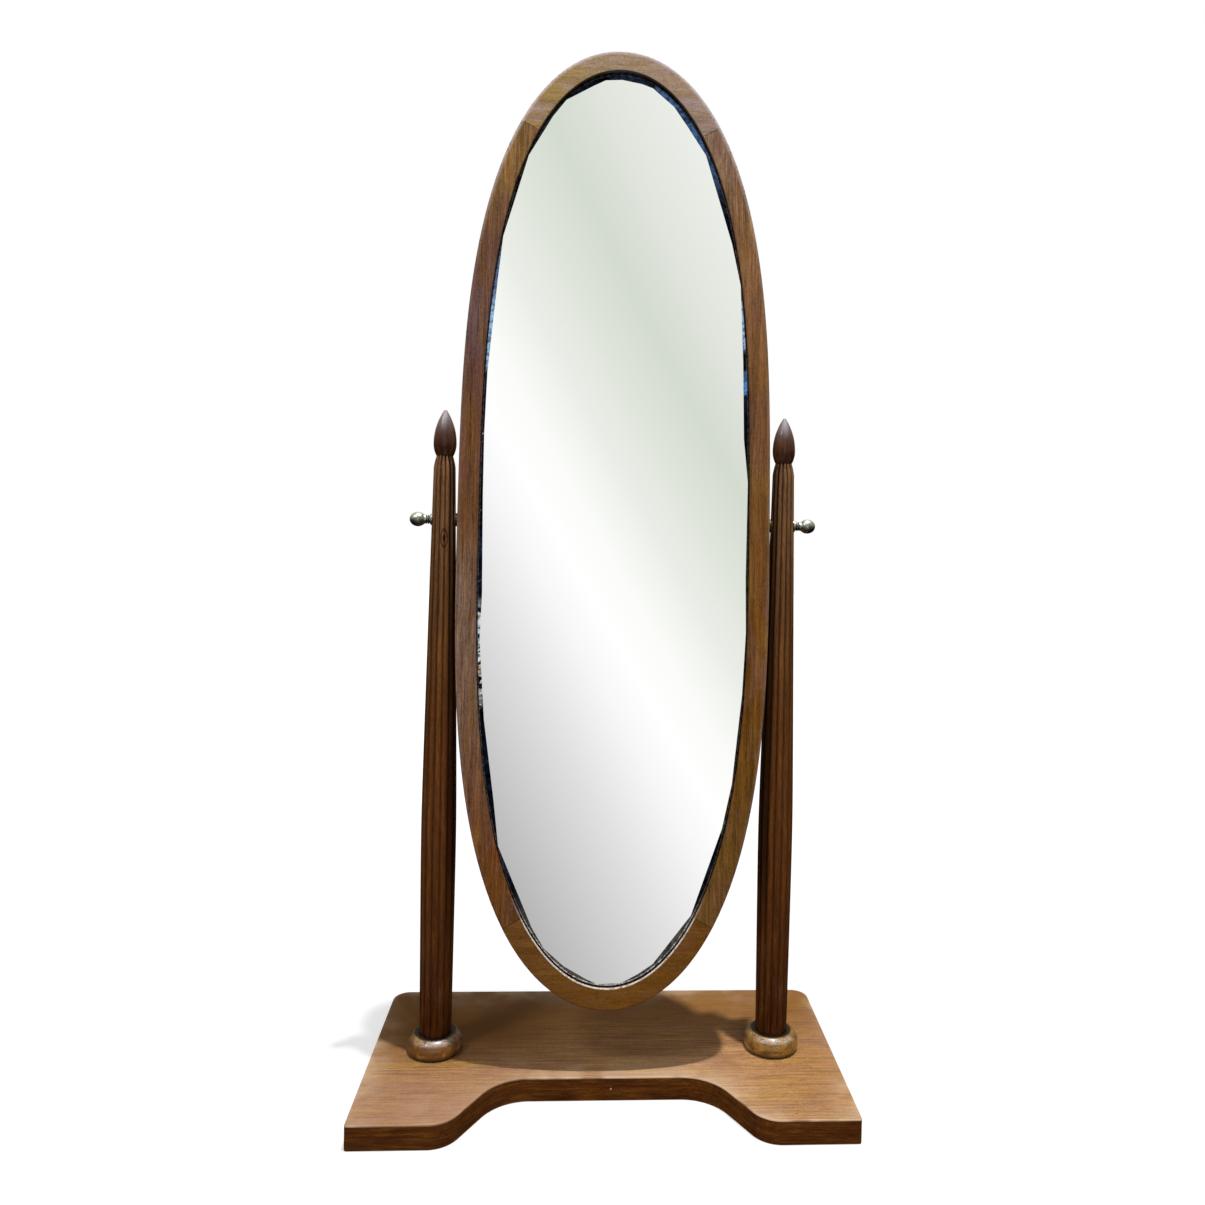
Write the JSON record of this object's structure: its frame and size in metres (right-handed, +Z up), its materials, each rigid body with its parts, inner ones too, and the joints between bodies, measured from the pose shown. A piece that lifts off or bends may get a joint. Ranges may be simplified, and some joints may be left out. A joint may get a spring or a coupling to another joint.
{
  "type": "cheval mirror",
  "caption": "Free-standing oval bevelled mirror in a narrow frame that turns between two reeded posts with ball knobs, on a plank base with a serpentine front recess.",
  "frame": {"origin": "middle of the base board's underside, which is the bottom centre of the whole object's box", "axes": "+X to the viewer's right, along the pivot axis; +Y to the back, away from the viewer; +Z up"},
  "size_m": [0.7, 0.37, 1.577],
  "materials": {
    "base_wood": "worn satin lacquer, straight grain",
    "post_wood": "dark satin lacquer",
    "collar_wood": "worn golden lacquer with dark patches",
    "finial_wood": "dark satin lacquer",
    "frame_wood": "worn satin lacquer, oak grain along each length",
    "bare_wood": "unfinished",
    "backing_wood": "unfinished thin ply, darkened",
    "mirror": "silvered, bevelled edge",
    "knob_metal": "dulled nickel plate",
    "stud_steel": "plain",
    "screw_steel": "zinc plated, dulled",
    "screw_brass": "plain",
    "washer_leather": "plain"
  },
  "bodies": {
    "stand": {"base_board": "base_wood", "left_post": "post_wood", "right_post": "post_wood", "left_collar": "collar_wood", "right_collar": "collar_wood", "left_finial": "finial_wood", "right_finial": "finial_wood", "post_screws": "screw_steel", "post_washers": "screw_steel", "left_pivot_bush": "knob_metal", "right_pivot_bush": "knob_metal"},
    "mirror": {"frame_top": "frame_wood", "frame_bottom": "frame_wood", "frame_left": "frame_wood", "frame_right": "frame_wood", "frame_dowels": "bare_wood", "mirror_glass": "mirror", "glazing_blocks": "bare_wood", "backing_board": "backing_wood", "backing_screws": "screw_brass", "left_pivot_insert": "screw_brass", "right_pivot_insert": "screw_brass", "left_friction_washer": "washer_leather", "right_friction_washer": "washer_leather"},
    "left_stud": {"left_stud": "stud_steel"},
    "right_stud": {"right_stud": "stud_steel"},
    "left_knob": {"left_knob": "knob_metal"},
    "right_knob": {"right_knob": "knob_metal"}
  },
  "joints": [
    {"name": "mirror_tilt", "type": "hinge", "parent": "stand", "child": "mirror", "pos_m": [0, 0.004, 0.841], "axis": [1, 0, 0], "continuous": true},
    {"name": "left_stud_travel", "type": "slide", "parent": "mirror", "child": "left_stud", "axis": [-1, 0, 0], "range_m": [0, 0.0025]},
    {"name": "left_knob_turn", "type": "hinge", "parent": "left_stud", "child": "left_knob", "pos_m": [-0.28, 0.004, 0.841], "axis": [-1, 0, 0], "range_deg": [0, 720]},
    {"name": "right_stud_travel", "type": "slide", "parent": "mirror", "child": "right_stud", "axis": [1, 0, 0], "range_m": [0, 0.0025]},
    {"name": "right_knob_turn", "type": "hinge", "parent": "right_stud", "child": "right_knob", "pos_m": [0.28, 0.004, 0.841], "axis": [1, 0, 0], "range_deg": [0, 720]}
  ],
  "couplings": [
    {"joint": "left_knob_turn", "follows": "left_stud_travel", "rad_per_m": 5026.5},
    {"joint": "right_knob_turn", "follows": "right_stud_travel", "rad_per_m": 5026.5}
  ]
}
